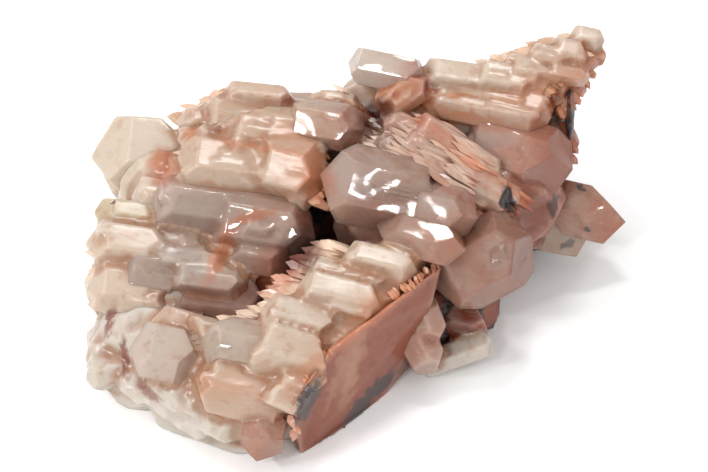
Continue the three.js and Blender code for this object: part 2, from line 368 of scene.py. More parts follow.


# Joins the crystals of a pile into one closed skin, softens its edges, colours it crystal by crystal and
# paints shade into its hollows and light onto its edges
def finishCloudy(pile, grain, soften, fuse=0):
    group = joined([grown["piece"] for grown in pile])
    skinOver(group, grain)
    if fuse:  # swollen and shrunk again, which closes the narrow gaps
        swell(group, fuse)
        skinOver(group, grain)
        swell(group, -fuse)
    worn = group.modifiers.new("worn", "SMOOTH")
    worn.factor = 0.5
    worn.iterations = soften
    bpy.ops.object.modifier_apply(modifier="worn")
    cutAt([((0, 0, 0.02 * mm), (0, 0, 1))], keepOuter=True)  # level with the table
    bpy.ops.object.shade_smooth_by_angle(angle=math.radians(50))  # sharper edges stay crisp
    paintSkin(group, pile)
    pile.clear()
    return group


# Where the colour of the tip begins along a crystal and on faces that look along it, over how much,
# and its share there, then the tint of the painted shade in hollows and their depth, and how pale the painted
# light makes edges
paint = {
    "alongFrom": 0.1,
    "alongOver": 0.8,
    "facingFrom": 0.3,
    "facingOver": 0.3,
    "share": 0.6,
    "paintedHollowShade": (0.72, 0.5, 0.38),
    "hollowDepth": 0.3,
    "hollowRounds": 25,
    "paintedEdgeLight": 0.9,
    "paintedEdgeLightShare": 0.25,
}


def rising(values, start, over):
    return np.clip((values - start) / over, 0, 1) * paint["share"]


def paintSkin(group, pile):
    mesh = group.data
    count = len(mesh.vertices)
    spots = np.empty(count * 3)
    mesh.vertices.foreach_get("co", spots)
    spots = np.c_[spots.reshape(-1, 3), np.ones(count)]
    normals = np.empty(count * 3)
    mesh.vertex_normals.foreach_get("vector", normals)
    normals = normals.reshape(-1, 3)
    nearest = np.full(count, 1e9)
    colours = np.zeros((count, 3))
    for grown in pile:
        local = (spots @ np.array(grown["stand"].inverted()).T)[:, :3]
        if grown["faces"] is None:
            off = np.linalg.norm(local, axis=1) - 1
            onTip = np.zeros(count)
        else:
            off = np.max([local @ np.array(n) - d for n, d in grown["faces"]], axis=0)
            axis = np.array(grown["stand"].to_3x3() @ Vector((1, 0, 0)))
            facing = normals @ (axis / np.linalg.norm(axis))
            onTip = rising(local[:, 0] / grown["halfLength"], paint["alongFrom"], paint["alongOver"])
            onTip += rising(facing, paint["facingFrom"], paint["facingOver"])
        off *= grown["reach"]
        onTip = np.clip(onTip, 0, 1)[:, None]
        here = np.array(grown["body"]) * (1 - onTip) + np.array(grown["tip"]) * onTip
        closer = off < nearest
        nearest[closer] = off[closer]
        colours[closer] = here[closer]
    # painted shade: hollows are warmer and darker; painted light: edges are paler
    hollow = hollowness(group, spots[:, :3], normals)[:, None]
    colours *= 1 - np.clip(hollow, 0, 1) * (1 - np.array(paint["paintedHollowShade"]))
    colours += (paint["paintedEdgeLight"] - colours) * np.clip(-hollow, 0, 1) * paint["paintedEdgeLightShare"]
    writeTone(mesh, colours)


# How far each spot lies below the smoothed surface, as a share of hollowDepth, below 0 where it stands out;
# it sets the painted shade in hollows and the painted light on edges
def hollowness(group, spots, normals):
    deselect()
    group.select_set(True)
    bpy.context.view_layer.objects.active = group
    bpy.ops.object.duplicate()
    worn = bpy.context.object
    smooth = worn.modifiers.new("smooth", "SMOOTH")
    smooth.factor = 1
    smooth.iterations = paint["hollowRounds"]
    bpy.ops.object.modifier_apply(modifier="smooth")
    levelled = np.empty(len(spots) * 3)
    worn.data.vertices.foreach_get("co", levelled)
    bpy.ops.object.delete()
    return np.sum((levelled.reshape(-1, 3) - spots) * normals, axis=1) / (paint["hollowDepth"] * mm)


# The clear crystals, in millimetres: the chamfer of their edges, the grain of rounded ones, how far ribs
# stand out, and how wide a crystal is whose ribs keep their width. Core is the share that is cloudy.
clearForm = {"chamfer": 0.2, "grain": 0.5, "core": 0.92, "ribs": 0.8, "ribWidth": 5.5}


# They stay separate bodies with a fine chamfer on their edges, unless they are rounded
def finishClear(rounded):
    if rounded:
        return finishCloudy(clear, clearForm["grain"], rounded)
    for grown in clear:
        paintAlong(grown["piece"].data, grown["halfLength"], grown["body"], grown["tip"])
    group = joined([grown["piece"] for grown in clear])
    edges = group.modifiers.new("edges", "BEVEL")
    edges.width = clearForm["chamfer"] * mm
    edges.segments = 1
    edges.limit_method = "ANGLE"
    bpy.ops.object.modifier_apply(modifier="edges")
    bpy.ops.object.shade_flat()
    clear.clear()
    return group


def newMaterial(name):
    material = bpy.data.materials.new(name)
    material.use_nodes = True
    nodes = material.node_tree.nodes
    return material, nodes, material.node_tree.links, nodes["Principled BSDF"]


def mapped(nodes, links, source, kind, turn, size, place=(0, 0, 0)):
    node = nodes.new("ShaderNodeMapping")
    node.vector_type = kind
    node.inputs["Location"].default_value = place
    node.inputs["Rotation"].default_value = turn
    node.inputs["Scale"].default_value = size
    links.new(source, node.inputs["Vector"])
    return node.outputs["Vector"]


def noiseOf(nodes, links, source, scale, detail):
    noise = nodes.new("ShaderNodeTexNoise")
    noise.inputs["Scale"].default_value = scale
    noise.inputs["Detail"].default_value = detail
    links.new(source, noise.inputs["Vector"])
    return noise


# A bump that adds to the one before it
def bumpOf(nodes, links, height, strength, distance, before=None):
    bump = nodes.new("ShaderNodeBump")
    bump.inputs["Strength"].default_value = strength
    bump.inputs["Distance"].default_value = distance
    links.new(height, bump.inputs["Height"])
    if before:
        links.new(before, bump.inputs["Normal"])
    return bump.outputs["Normal"]


def ramp(nodes, links, value, low, high, outLow=0.0, outHigh=1.0):
    node = nodes.new("ShaderNodeMapRange")
    node.interpolation_type = "SMOOTHSTEP"
    for socket, number in (("From Min", low), ("From Max", high), ("To Min", outLow), ("To Max", outHigh)):
        node.inputs[socket].default_value = number
    links.new(value, node.inputs["Value"])
    return node.outputs["Result"]


def mixed(nodes, links, factor, first, second, blend="MIX"):
    node = nodes.new("ShaderNodeMix")
    node.data_type = "RGBA"
    node.blend_type = blend
    for socket, value in ((0, factor), (6, first), (7, second)):
        if hasattr(value, "links"):
            links.new(value, node.inputs[socket])
        elif socket == 0:
            node.inputs[0].default_value = value
        else:
            node.inputs[socket].default_value = (*value, 1)
    return node.outputs[2]


# Stains and dark patches, with painted shade in two crevices and one painted highlight: across, up,
# their two radii in millimetres, how they are turned in degrees, colour, strength, and softness of the edge
stainsAndPaintedLight = {
    "leftLight": [-56.0, 20.0, 10.0, 9.0, 0, "ivory", 0.6, 0.5],
    "creamField": [-34.0, 17.0, 11.0, 4.0, 8, "cream", 0.5, 0.6],
    "peachField": [-14.0, 20.0, 5.0, 10.0, 12, "peach", 0.5, 0.6],
    "greyField": [-35.0, 8.5, 11.0, 4.5, 12, "grey", 0.6, 0.5],
    "greyFieldLow": [-22.0, 1.0, 7.0, 4.0, 10, "grey", 0.5, 0.6],
    "brownField": [-35.0, -14.0, 11.0, 4.5, 6, "brownPink", 0.5, 0.6],
    "lavenderCentre": [-1.0, 16.0, 6.0, 5.0, 10, "lavender", 0.8, 0.5],
    "lavenderRight": [20.0, 9.5, 6.0, 2.6, 10, "lavender", 0.6, 0.5],
    "brownCentre": [5.0, 6.5, 8.0, 4.0, 12, "brownPink", 0.75, 0.5],
    "peachRound": [26.0, -1.5, 4.4, 4.4, 0, "orange", 0.6, 0.6],
    "lavenderBigRight": [34.0, 27.0, 8.0, 4.0, 16, "lavender", 0.55, 0.6],
    "frontWhite": [-9.0, -15.0, 8.0, 4.5, 14, "white", 0.15, 0.6],
    "frontBlush": [7.0, -14.0, 9.0, 2.6, 38, "orange", 0.6, 0.6],
    "frontBlushLow": [-12.5, -33.0, 7.0, 2.4, 48, "orange", 0.6, 0.6],
    "baseWhite": [-46.0, -44.0, 14.0, 4.6, -28, "white", 0.7, 0.5],
    # painted highlight: a white patch where the tall pale crystal catches the light
    "tallHighlight": [4.0, 43.0, 7.0, 4.0, 12, "white", 0.5, 0.6],
    "slantRust": [30.0, 18.5, 12.0, 1.3, -33, "rust", 0.55, 0.7],
    "slantRustLow": [25.0, 11.5, 10.0, 1.2, -33, "terracotta", 0.5, 0.6],
    "slantRustHigh": [20.0, 27.5, 9.0, 1.3, -30, "rust", 0.5, 0.7],
    "underCrest": [29.0, 30.0, 14.0, 1.6, -12, "rust", 0.6, 0.6],
    "ridgeRust": [-24.0, 23.2, 12.0, 1.0, -8, "rust", 0.45, 0.7],
    "ridgeRustLow": [-31.0, 12.8, 12.0, 0.9, -8, "orange", 0.5, 0.6],
    "crestRust": [47.0, 38.0, 11.0, 3.0, 24, "orange", 0.6, 0.7],
    "greyPatch": [-42.3, 0.2, 3.0, 2.2, 0, "greyPink", 0.9, 0.4],
    "bigRightEnd": [48.0, 24.0, 4.0, 8.0, 10, "terracotta", 0.5, 0.7],
    "leftSpot": [-48.2, 18.6, 3.4, 4.6, 10, "rust", 0.85, 0.5],
    "leftSpotHigh": [-41.5, 27.2, 2.0, 1.4, 20, "rust", 0.7, 0.6],
    "ridgeMark": [-34.7, 27.4, 1.6, 0.9, 30, "red", 0.6, 0.5],
    "ridgeMarkRight": [-17.4, 27.0, 3.2, 2.6, 0, "orange", 0.6, 0.7],
    "ridgeEnd": [-9.5, 14.5, 3.6, 6.5, 10, "rust", 0.7, 0.6],
    "veinLeft": [-33.2, -2.5, 2.0, 8.0, -25, "rust", 0.75, 0.5],
    "veinTop": [-25.0, 6.0, 5.0, 1.2, 12, "rust", 0.8, 0.5],
    "redHollow": [-19.0, -6.5, 5.5, 5.5, 0, "terracotta", 0.75, 0.5],
    "redHollowLow": [-24.5, -11.8, 4.2, 2.2, 10, "red", 0.8, 0.5],
    # painted shade: these two patches paint the deep shade of the crevices as dark red
    "crevice": [-13.5, -2, 4.6, 6.4, -30, "deepRed", 0.9, 0.4],
    "creviceShadeTop": [4.6, 30.6, 3.4, 5.2, -35, "deepRed", 0.85, 0.5],
    "footStreak": [-61.0, -20.0, 0.9, 3.4, -10, "red", 0.85, 0.5],
    "footStreakLow": [-57.0, -28.4, 1.0, 5.4, 5, "red", 0.85, 0.5],
    "footStreakEnd": [-51.0, -37.0, 3.6, 1.2, -35, "red", 0.7, 0.6],
    "frontOrange": [-34.0, -35.0, 9.0, 3.4, -8, "orange", 0.45, 0.7],
    "wallEdge": [6.0, -16.4, 19.0, 2.0, 39, "orange", 0.7, 0.6],
    "wallVeil": [-1.0, -31.0, 1.8, 9.5, -14, "beige", 0.5, 0.7],
    "wallVeilLeft": [-4.5, -33.0, 1.0, 9.0, -18, "beige", 0.35, 0.7],
    "wallLens": [3.4, -39.0, 9.5, 1.9, 49, "slate", 0.92, 0.25],
    "wallLensOrange": [5.6, -40.4, 3.0, 1.6, 49, "terracotta", 0.95, 0.3],
    "wallDark": [-11.6, -39.0, 1.9, 6.0, -28, "slate", 0.9, 0.3],
    "rightEnd": [50.0, 19.0, 3.6, 7.0, 15, "terracotta", 0.7, 0.6],
    "darkHollow": [37.8, 9.6, 1.8, 3.8, 20, "dark", 1.0, 0.2],
    "darkHollowRight": [49.3, 8.2, 1.0, 3.6, 0, "dark", 0.92, 0.4],
    "redHollowRight": [44.5, 7.0, 4.6, 5.0, 0, "red", 0.8, 0.5],
    "sideSpeck": [58.5, 2.8, 0.7, 0.5, 0, "dark", 0.9, 0.5],
    "sideSpeckLeft": [53.4, -1.0, 1.6, 0.6, 30, "dark", 0.7, 0.6],
    "sideSpeckTop": [56.8, 13.1, 0.5, 0.7, 0, "dark", 0.9, 0.5],
    "speckLeft": [-60.2, 9.4, 0.3, 0.4, 0, "deepRed", 0.9, 0.4],
    "speckLobe": [-54.2, 7.6, 0.3, 0.3, 0, "deepRed", 0.9, 0.4],
}


# How far the edges of the stains and of the painted shade and highlight patches wander, in millimetres
wander = 5


# A soft patch of colour on top of the colour so far
def paintPatch(nodes, links, colour, spots, colourPatch):
    across, up, long, wide, turn, hue, strength, soft = colourPatch
    place = (across + wander / 2, up + wander / 2, 0)
    through = 100000  # so that a stain reaches through the whole specimen
    near = mapped(nodes, links, spots, "TEXTURE", (0, 0, math.radians(turn)), (long, wide, through), place)
    far = nodes.new("ShaderNodeVectorMath")
    far.operation = "LENGTH"
    links.new(near, far.inputs[0])
    cover = ramp(nodes, links, far.outputs["Value"], 1 - soft, 1 + soft, strength, 0)
    return mixed(nodes, links, cover, colour, hues[hue])


# The colour of the crystal: what was painted on it, with painted shade in hollows and painted light on edges,
# veils, grain and streaks along the crystals, stains, painted crevice shade and a painted highlight
def calciteColour(nodes, links, flat, grain, grainWay, veils):
    tone = nodes.new("ShaderNodeAttribute")
    tone.attribute_name = "tone"
    veil = noiseOf(nodes, links, flat, 0.16, 6)
    cover = ramp(nodes, links, veil.outputs["Fac"], 0.48, 0.7, 0, veils)
    colour = mixed(nodes, links, cover, tone.outputs["Color"], hues["milk"])
    cover = ramp(nodes, links, grain.outputs["Fac"], 0.56, 0.36, 0, 0.06)
    colour = mixed(nodes, links, cover, colour, hues["terracotta"], "MULTIPLY")
    blush = noiseOf(nodes, links, flat, 0.33, 5)
    cover = ramp(nodes, links, blush.outputs["Fac"], 0.52, 0.68, 0, 0.32)
    colour = mixed(nodes, links, cover, colour, hues["orange"], "MULTIPLY")
    streak = noiseOf(nodes, links, grainWay, 0.9, 6)
    cover = ramp(nodes, links, streak.outputs["Fac"], 0.55, 0.68, 0, veils * 0.6)
    colour = mixed(nodes, links, cover, colour, hues["white"])
    warp = noiseOf(nodes, links, flat, 0.35, 5)
    shift = nodes.new("ShaderNodeVectorMath")
    shift.operation = "MULTIPLY_ADD"
    links.new(warp.outputs["Color"], shift.inputs[0])
    shift.inputs[1].default_value = (wander, wander, 0)
    links.new(flat, shift.inputs[2])
    for colourPatch in stainsAndPaintedLight.values():
        colour = paintPatch(nodes, links, colour, shift.outputs["Vector"], colourPatch)
    return colour


def calciteMaterial(name, look):
    material, nodes, links, shader = newMaterial(name)
    coords = nodes.new("ShaderNodeTexCoord").outputs["Object"]
    # the layout's own millimetres, and the same stretched along the crystals
    spot = (layout["middleX"], layout["middleY"] * math.sin(layout["tilt"]), 0)
    flat = mapped(nodes, links, coords, "POINT", (-layout["tilt"], 0, 0), (1000, 1000, 1000), spot)
    grainWay = mapped(nodes, links, flat, "TEXTURE", (0, 0, math.radians(-12)), (5, 1, 1))
    grain = noiseOf(nodes, links, grainWay, 2.4, 4)
    colour = calciteColour(nodes, links, flat, grain, grainWay, look["veils"])
    colour = mixed(nodes, links, look["wash"], colour, hues["core"])
    colour = mixed(nodes, links, 1.0, colour, look["warmth"], "MULTIPLY")
    links.new(colour, shader.inputs["Base Color"])
    shader.inputs["Roughness"].default_value = look["rough"]
    shader.inputs["IOR"].default_value = 1.5
    shader.inputs["Transmission Weight"].default_value = look["clearness"]
    shader.inputs["Subsurface Weight"].default_value = look["glow"]
    shader.inputs["Subsurface Radius"].default_value = (1.0, 0.62, 0.48)
    shader.inputs["Subsurface Scale"].default_value = 0.003
    waves = noiseOf(nodes, links, flat, 0.14, 0)
    flakes = nodes.new("ShaderNodeTexVoronoi")
    flakes.inputs["Scale"].default_value = 0.9
    flakeWay = mapped(nodes, links, flat, "TEXTURE", (0, 0, math.radians(-14)), (2.6, 1, 1.6))
    links.new(flakeWay, flakes.inputs["Vector"])
    low = bumpOf(nodes, links, waves.outputs["Fac"], 0.6, look["waves"] * mm)
    fine = bumpOf(nodes, links, grain.outputs["Fac"], 0.05, 0.2 * mm, low)
    flaky = bumpOf(nodes, links, flakes.outputs["Distance"], look["flaky"], 0.3 * mm, fine)
    links.new(flaky, shader.inputs["Normal"])
    if "depth" in look:
        inside = nodes.new("ShaderNodeVolumeAbsorption")
        inside.inputs["Color"].default_value = (*look["depth"], 1)
        inside.inputs["Density"].default_value = look["density"]
        links.new(inside.outputs["Volume"], nodes["Material Output"].inputs["Volume"])
    return material


def rockMaterial(name, look):
    material, nodes, links, shader = newMaterial(name)
    coords = nodes.new("ShaderNodeTexCoord").outputs["Object"]
    grains = noiseOf(nodes, links, coords, look["grains"], 6)
    patches = noiseOf(nodes, links, coords, look["patches"], 4)
    cover = ramp(nodes, links, grains.outputs["Fac"], 0.35, 0.7)
    colour = mixed(nodes, links, cover, look["dark"], look["pale"])
    cover = ramp(nodes, links, patches.outputs["Fac"], 0.52, 0.62, 0, 0.8)
    colour = mixed(nodes, links, cover, colour, hues["red"])
    links.new(colour, shader.inputs["Base Color"])
    shader.inputs["Roughness"].default_value = look["rough"]
    links.new(bumpOf(nodes, links, grains.outputs["Fac"], 0.8, 0.8 * mm), shader.inputs["Normal"])
    return material


# How the finishes look. Clearness, glow from inside, veils, wash of pale colour and flaky relief are shares,
# waves are the millimetres of slow relief, and depth is the colour that clear crystal takes when it is thick.
cloudyLook = {
    "clearness": 0.15,
    "glow": 0.6,
    "veils": 0.3,
    "wash": 0.0,
    "warmth": (0.71, 0.67, 0.62),
    "rough": 0.26,
    "waves": 0.4,
    "flaky": 0.036,
}

wallLook = {
    "clearness": 0.1,
    "glow": 0.6,
    "veils": 0.0,
    "wash": 0.0,
    "warmth": (0.76, 0.57, 0.46),
    "rough": 0.26,
    "waves": 0.4,
    "flaky": 0.0,
}

clearLook = {
    "clearness": 0.65,
    "glow": 0.0,
    "veils": 0.35,
    "wash": 0.12,
    "warmth": (1.0, 0.91, 0.84),
    "rough": 0.07,
    "waves": 1.3,
    "flaky": 0.02,
    "depth": (0.96, 0.84, 0.76),
    "density": 30,
}

bladeLook = {
    "clearness": 0.12,
    "glow": 0.0,
    "veils": 0.2,
    "wash": 0.0,
    "warmth": (0.95, 0.87, 0.78),
    "rough": 0.26,
    "waves": 0.4,
    "flaky": 0.024,
}

rockLook = {"grains": 700, "patches": 90, "dark": tint(34, 26, 26), "pale": tint(96, 84, 82), "rough": 0.45}

cloudyCalcite = calciteMaterial("cloudyCalcite", cloudyLook)
wallCalcite = calciteMaterial("wallCalcite", wallLook)
clearCalcite = calciteMaterial("clearCalcite", clearLook)
bladeCalcite = calciteMaterial("bladeCalcite", bladeLook)
rock = rockMaterial("rock", rockLook)
print("materials done")


# Grows one group from its dictionary and sets it in place of the plain node
def growGroup(name, group, node, faceDice):
    dice = random.Random(name)
    for row in group.get("crystals", {}).values():
        *spot, length, width, thickness, turn, lean, roll, point, body, tip, look, count = row
        place = placeOf(*spot)
        form = [length, width, thickness, turn, lean, roll, point]
        faces = crystalFaces(standOf(place, form)[1], point, faceDice)
        if look == "clear":
            growCrystal(clear, place, form, body, tip, dice, faces)
            wide = width / clearForm["ribWidth"]
            growRibs(clear, place, form, body, tip, count, clearForm["ribs"], wide, dice)
            growCrystal(cloudy, place, form, "core", tip, dice, faces, clearForm["core"])
        else:
            growCrystal(cloudy, place, form, body, tip, dice, faces)
            growRibs(cloudy, place, form, body, tip, count, ribs["proud"], 1, dice)
    for row in group.get("backCrystals", {}).values():
        growCrystal(cloudy, backPlace(*row[:3]), row[3:10], row[10], row[11], dice)
    for row in group.get("infill", {}).values():
        for place, form in rowForms(row, dice, rowHabit["infillTurn"]):
            growCrystal(cloudy, place, form, row[7], row[8], dice)
    for row in group.get("lumps", {}).values():
        growLump(backPlace(*row[:3]), row[3:6], row[6], dice, cuts=group.get("cuts", {}).values())
    skin = finishCloudy(cloudy, group["grain"], group["soften"], group.get("fuse", 0))
    settle(skin, name, node, cloudyCalcite)
    if clear:
        settle(finishClear(group.get("rounded")), name + "Clear", node, clearCalcite)
    if "blades" in group:
        growBlades(name + "Blades", group["blades"], dice, bladeCalcite)


# In every group, grain is how coarse the skin is and fuse closes gaps up to twice as wide, in millimetres.
# Soften and rounded are how many times the cloudy and the clear edges are worn.
# Crystals: across, up, high, length, width, thickness, turn, lean, roll, point, colour, tip colour,
# look, how many ribs. Back crystals: x, y, z in place of across, up, high, and neither look nor ribs.
# Infill and blades: from, to, how many, length, width, thickness, turn, colour, tip colour.
# Lumps: x, y, z and their three radii, colour. Cuts: x, y, z and the way out, for the lumps.
leftEnd = {
    "grain": 0.5,
    "fuse": 1.4,
    "soften": 1,
    "crystals": {
        "leftPale": [-52, 19.6, 25, 31, 22.5, 18, 4, 0, 0, 52, "ivory", "ivory", "cloudy", 0],
        "topLong": [-24, 35.8, 46, 18.5, 8, 9, 6, 5, 0, 40, "beige", "pink", "cloudy", 2],
        "secondLong": [-26.5, 30.6, 42, 24, 10, 11, 7, 0, 20, 40, "beige", "pink", "cloudy", 4],
        "pinkPoint": [-7.6, 28.9, 46, 21, 12, 11, 9, 22, 30, 42, "cream", "terracotta", "clear", 1],
        "smallBehind": [-5.8, 35, 46, 9, 5, 6, 6, 0, 0, 40, "beige", "orange", "cloudy", 0],
    },
    "infill": {
        "stair": [[-40, 27, 38], [-30, 33, 43], 5, 14, 7, 8, 6, "beige", "cream"],
        "behind": [[-14, 31, 42], [-4, 34, 45], 4, 12, 7, 8, 8, "beige", "orange"],
    },
    "blades": {
        "leftStair": [[-43, 29.6, 37], [-30, 37.4, 43], 12, 10, 2.4, 3.4, 6, "beige", "beige"],
        "pinkFringe": [[-1, 24, 42], [-3, 38, 47], 9, 6, 1.6, 2.4, 30, "beige", "orange"],
    },
}

crest = {
    "grain": 0.46,
    "fuse": 0.5,
    "soften": 1,
    "crystals": {
        "tallPale": [7.8, 42, 52, 20.5, 10.5, 11, 12, 10, 0, 38, "white", "pink", "clear", 0],
        "tallRed": [11.5, 36.5, 50, 16, 8, 9, -35, 0, 30, 45, "orange", "terracotta", "cloudy", 2],
        "paleBlock": [25.5, 40.1, 49, 20, 10, 12, 8, 0, 0, 35, "cream", "beige", "cloudy", 2],
        "blockRight": [37.3, 40, 50, 18, 10, 11, 10, 5, 0, 35, "cream", "orange", "cloudy", 3],
        "crestLow": [42.3, 42, 51, 13, 9, 10, 12, 5, 0, 40, "beige", "beige", "cloudy", 5],
        "crestMiddle": [48, 44.5, 52, 12, 9, 9, 14, 5, 0, 40, "beige", "orange", "cloudy", 5],
        "crestHigh": [53, 46.2, 53, 11, 9, 8, 14, 5, 0, 40, "beige", "orange", "cloudy", 5],
        "crestTip": [58, 50.8, 55, 9.5, 6, 6, 12, 5, 0, 35, "cream", "beige", "cloudy", 0],
        "tipSide": [61, 46, 51, 5, 4.5, 4.5, 70, 0, 0, 50, "orange", "terracotta", "cloudy", 0],
        "sideStepHigh": [54.6, 39.6, 47, 9, 6, 8, 40, 10, 0, 50, "orange", "terracotta", "cloudy", 1],
        "sideStepLow": [51, 34.5, 43, 8, 6, 8, 45, 10, 0, 50, "orange", "red", "cloudy", 1],
        "orangeRidge": [33.5, 33.4, 45, 32, 13, 13, 12, 8, 0, 35, "beige", "orange", "cloudy", 5],
    },
    "infill": {
        "ridge": [[24, 37, 48], [53, 43, 52], 18, 13, 4, 8, 12, "beige", "orange"],
        "underBlock": [[20, 36, 47], [44, 33, 45.5], 10, 14, 6, 8, 12, "orange", "rust"],
        "ridgeEnd": [[50, 38, 47], [58, 47, 52], 7, 8, 5, 6, 20, "orange", "terracotta"],
    },
    "blades": {
        "crestStair": [[34, 44, 50], [57, 50.2, 54], 18, 9, 2.2, 3.2, 10, "beige", "orange"],
        "crestSide": [[60, 46, 51], [51.6, 31, 43], 14, 4.6, 1.6, 2.4, 62, "orange", "terracotta"],
        "crestMiddle": [[39, 40, 51.8], [57, 46.5, 53.8], 16, 6, 1.4, 2.2, 14, "beige", "beige"],
        "crestMiddleLow": [[44, 36, 48.6], [55, 42, 51.2], 12, 5, 1.4, 2.2, 30, "beige", "orange"],
    },
    "lumps": {
        "backRidge": [18, 8, 32, 28, 12, 17, "beige"],
        "highRight": [42, 13, 38, 13, 9, 14, "beige"],
    },
}

rightEnd = {
    "grain": 0.5,
    "soften": 2,
    "crystals": {
        "bigRight": [39.3, 22.2, 37, 33, 18, 15, 18, 18, 30, 44, "pink", "terracotta", "clear", 3],
        "behindRight": [50.5, 26.5, 34, 13, 8, 8, 20, 0, 0, 45, "pink", "terracotta", "cloudy", 0],
    },
    "blades": {
        "behind": [[53, 29, 38], [54, 20, 32], 5, 5, 2, 3, 50, "terracotta", "red"],
    },
    "lumps": {
        "rightSide": [34, -9, 25, 18, 13, 15, "terracotta"],
    },
}

heart = {
    "grain": 0.48,
    "fuse": 0.4,
    "soften": 1,
    "crystals": {
        "slantHigh": [16, 25.5, 43, 22, 8, 9, 30, 5, 0, 40, "pink", "orange", "cloudy", 5],
        "slantLong": [24.8, 22.6, 42, 28, 8, 9, 33, 5, 10, 40, "pink", "beige", "cloudy", 5],
        "slantMiddle": [21, 18.5, 41, 26, 8, 9, 33, 5, 0, 40, "pink", "orange", "cloudy", 5],
        "slantLow": [28.5, 16.5, 39, 24, 9, 9, 35, 5, 0, 40, "pink", "orange", "cloudy", 5],
        "slantEnd": [34, 12, 34, 16, 8, 8, 38, 8, 0, 45, "orange", "terracotta", "cloudy", 3],
        "bigCentre": [6, 12.6, 41, 31, 20, 17, 12, -12, 30, 38, "greyPink", "greyPink", "clear", 3],
        "centreRight": [21, 7.1, 39, 20, 13, 13, 12, 18, 30, 42, "greyPink", "pink", "clear", 2],
    },
    "infill": {
        "slant": [[14, 27, 43], [34, 13, 37.5], 14, 20, 3.4, 7, 33, "pink", "orange"],
        "slantBelow": [[9, 23, 41], [30, 11, 37.5], 12, 18, 4, 8, 30, "greyPink", "rust"],
    },
    "blades": {
        "creviceComb": [[-1, 22, 40], [12, 32, 43], 24, 8, 1.4, 2.6, 24, "beige", "beige"],
        "creviceCombIn": [[3, 20, 41], [18, 30, 44], 20, 9, 1.4, 2.4, 26, "cream", "beige"],
        "underTall": [[-3, 36, 46], [6, 28, 41], 14, 7, 1.6, 2.6, 32, "orange", "red"],
        "slantTips": [[41, 12, 36], [30, 4, 33], 8, 9, 2, 3, 36, "orange", "terracotta"],
        "slantLines": [[12.5, 19, 44.8], [19, 29.5, 45.8], 16, 13, 1.2, 2.2, 33, "greyPink", "pink"],
        "slantLinesRight": [[24, 12.5, 42.2], [31, 23, 44], 16, 13, 1.2, 2.2, 35, "greyPink", "pink"],
        "slantLinesMiddle": [[18, 16, 43.8], [25, 27, 45.3], 16, 13, 1.2, 2.2, 34, "greyPink", "pink"],
    },
    "lumps": {
        "centre": [12, -14, 24, 18, 15, 17, "brownPink"],
    },
}

frontRidge = {
    "grain": 0.52,
    "fuse": 1.3,
    "soften": 1,
    "crystals": {
        "frontRound": [16, 0.6, 37, 23, 10, 11, 16, 15, 0, 50, "greyPink", "rust", "clear", 0],
        "frontHigh": [6, -5.6, 33, 19, 8.5, 10, 14, 5, 0, 38, "cream", "beige", "cloudy", 2],
        "frontThin": [-1.5, -8.4, 31, 21, 6.5, 9, 15, 5, 0, 38, "cream", "beige", "cloudy", 2],
        "frontPale": [-4, -14.4, 29, 22, 12, 12, 14, 5, 0, 38, "cream", "orange", "cloudy", 2],
        "frontMiddle": [-14, -19.4, 27, 20, 10, 12, 16, 0, 0, 40, "cream", "beige", "cloudy", 2],
        "frontLow": [-16.5, -27.4, 24, 22, 14, 14, 18, 0, 0, 38, "cream", "orange", "cloudy", 2],
        "frontClear": [-27.8, -26, 24, 21, 14, 12, 10, 0, 30, 42, "milk", "cream", "clear", 1],
        "frontBase": [-26.5, -36, 17, 26, 17, 15, 14, 0, 0, 35, "beige", "orange", "cloudy", 2],
        "paleRound": [-46.5, -28, 21, 18, 15, 12, 12, 0, 0, 40, "white", "cream", "clear", 0],
        "paleRoundBack": [-42.5, -22, 20, 17, 11, 10, 16, 0, 0, 42, "beige", "cream", "cloudy", 0],
        "frontKnob": [-22.5, -46.6, 10, 14, 13, 12, 50, 0, 0, 42, "pink", "orange", "clear", 1],
    },
    "infill": {
        "ridge": [[10, -3, 31.5], [-21, -33, 21.5], 34, 17, 2.8, 8, 15, "cream", "beige"],
        "ridgeIn": [[9, -5, 29], [-16, -30, 21], 12, 18, 8, 9, 15, "cream", "beige"],
        "base": [[-48, -34, 14], [-28, -44, 10], 8, 13, 8, 8, -22, "milk", "base"],
        "leftLobes": [[-60, -20, 12], [-61, -34, 8], 6, 11, 8, 8, -10, "milk", "cream"],
        "footLobes": [[-54, -33.5, 9], [-36, -45, 7], 8, 10, 6, 7, -28, "milk", "white"],
        "shelf": [[-36, -24, 20], [-20, -32, 20], 5, 18, 9, 10, 14, "cream", "beige"],
        "edge": [[-12, -32, 23], [-18, -40, 19], 9, 9, 2.6, 7, 25, "cream", "orange"],
        "foot": [[-36, -36, 15], [-22, -40, 15], 5, 14, 8, 9, 8, "beige", "milk"],
    },
    "blades": {
        "frontComb": [[-22, -18, 27], [-12, -7, 30], 14, 9, 1.8, 3.4, 18, "cream", "cream"],
        "frontCombLow": [[-31, -21, 23], [-20, -17, 27], 10, 9, 1.8, 3.4, 18, "cream", "cream"],
        "frontCombHigh": [[-12, -6, 30], [-4, -1, 33], 7, 10, 1.8, 3.4, 20, "cream", "beige"],
        "redTips": [[20.4, -6.6, 31.5], [8, -14, 30.5], 22, 2.8, 0.9, 1.4, 58, "red", "terracotta"],
        "redTipsLow": [
            [-6, -26.5, 27.5], [-16, -38, 21.5], 12, 2.2, 0.9, 1.4, 60, "terracotta", "terracotta",
        ],
        "knobEdge": [[-15, -36, 22], [-15, -48, 12], 7, 4, 1.6, 2.6, 60, "pink", "orange"],
    },
    "lumps": {
        "leftBase": [-49, -46, 7, 18, 17, 14, "base"],
        "frontCorner": [-31, -61, 7, 21, 15, 13, "base"],
        "frontRidge": [-15, -52, 12, 19, 12, 16, "beige"],
        "frontRidgeHigh": [6, -37, 16, 14, 12, 15, "beige"],
        "ridgeFoot": [-44, -26, 12, 23, 19, 17, "milk"],
    },
    "cuts": {
        "footFront": [-35, -71.6, 0, -0.4, -0.86, 0.3],
        "footLeft": [-53.6, -61.2, 0, -0.58, -0.76, 0.25],
    },
}

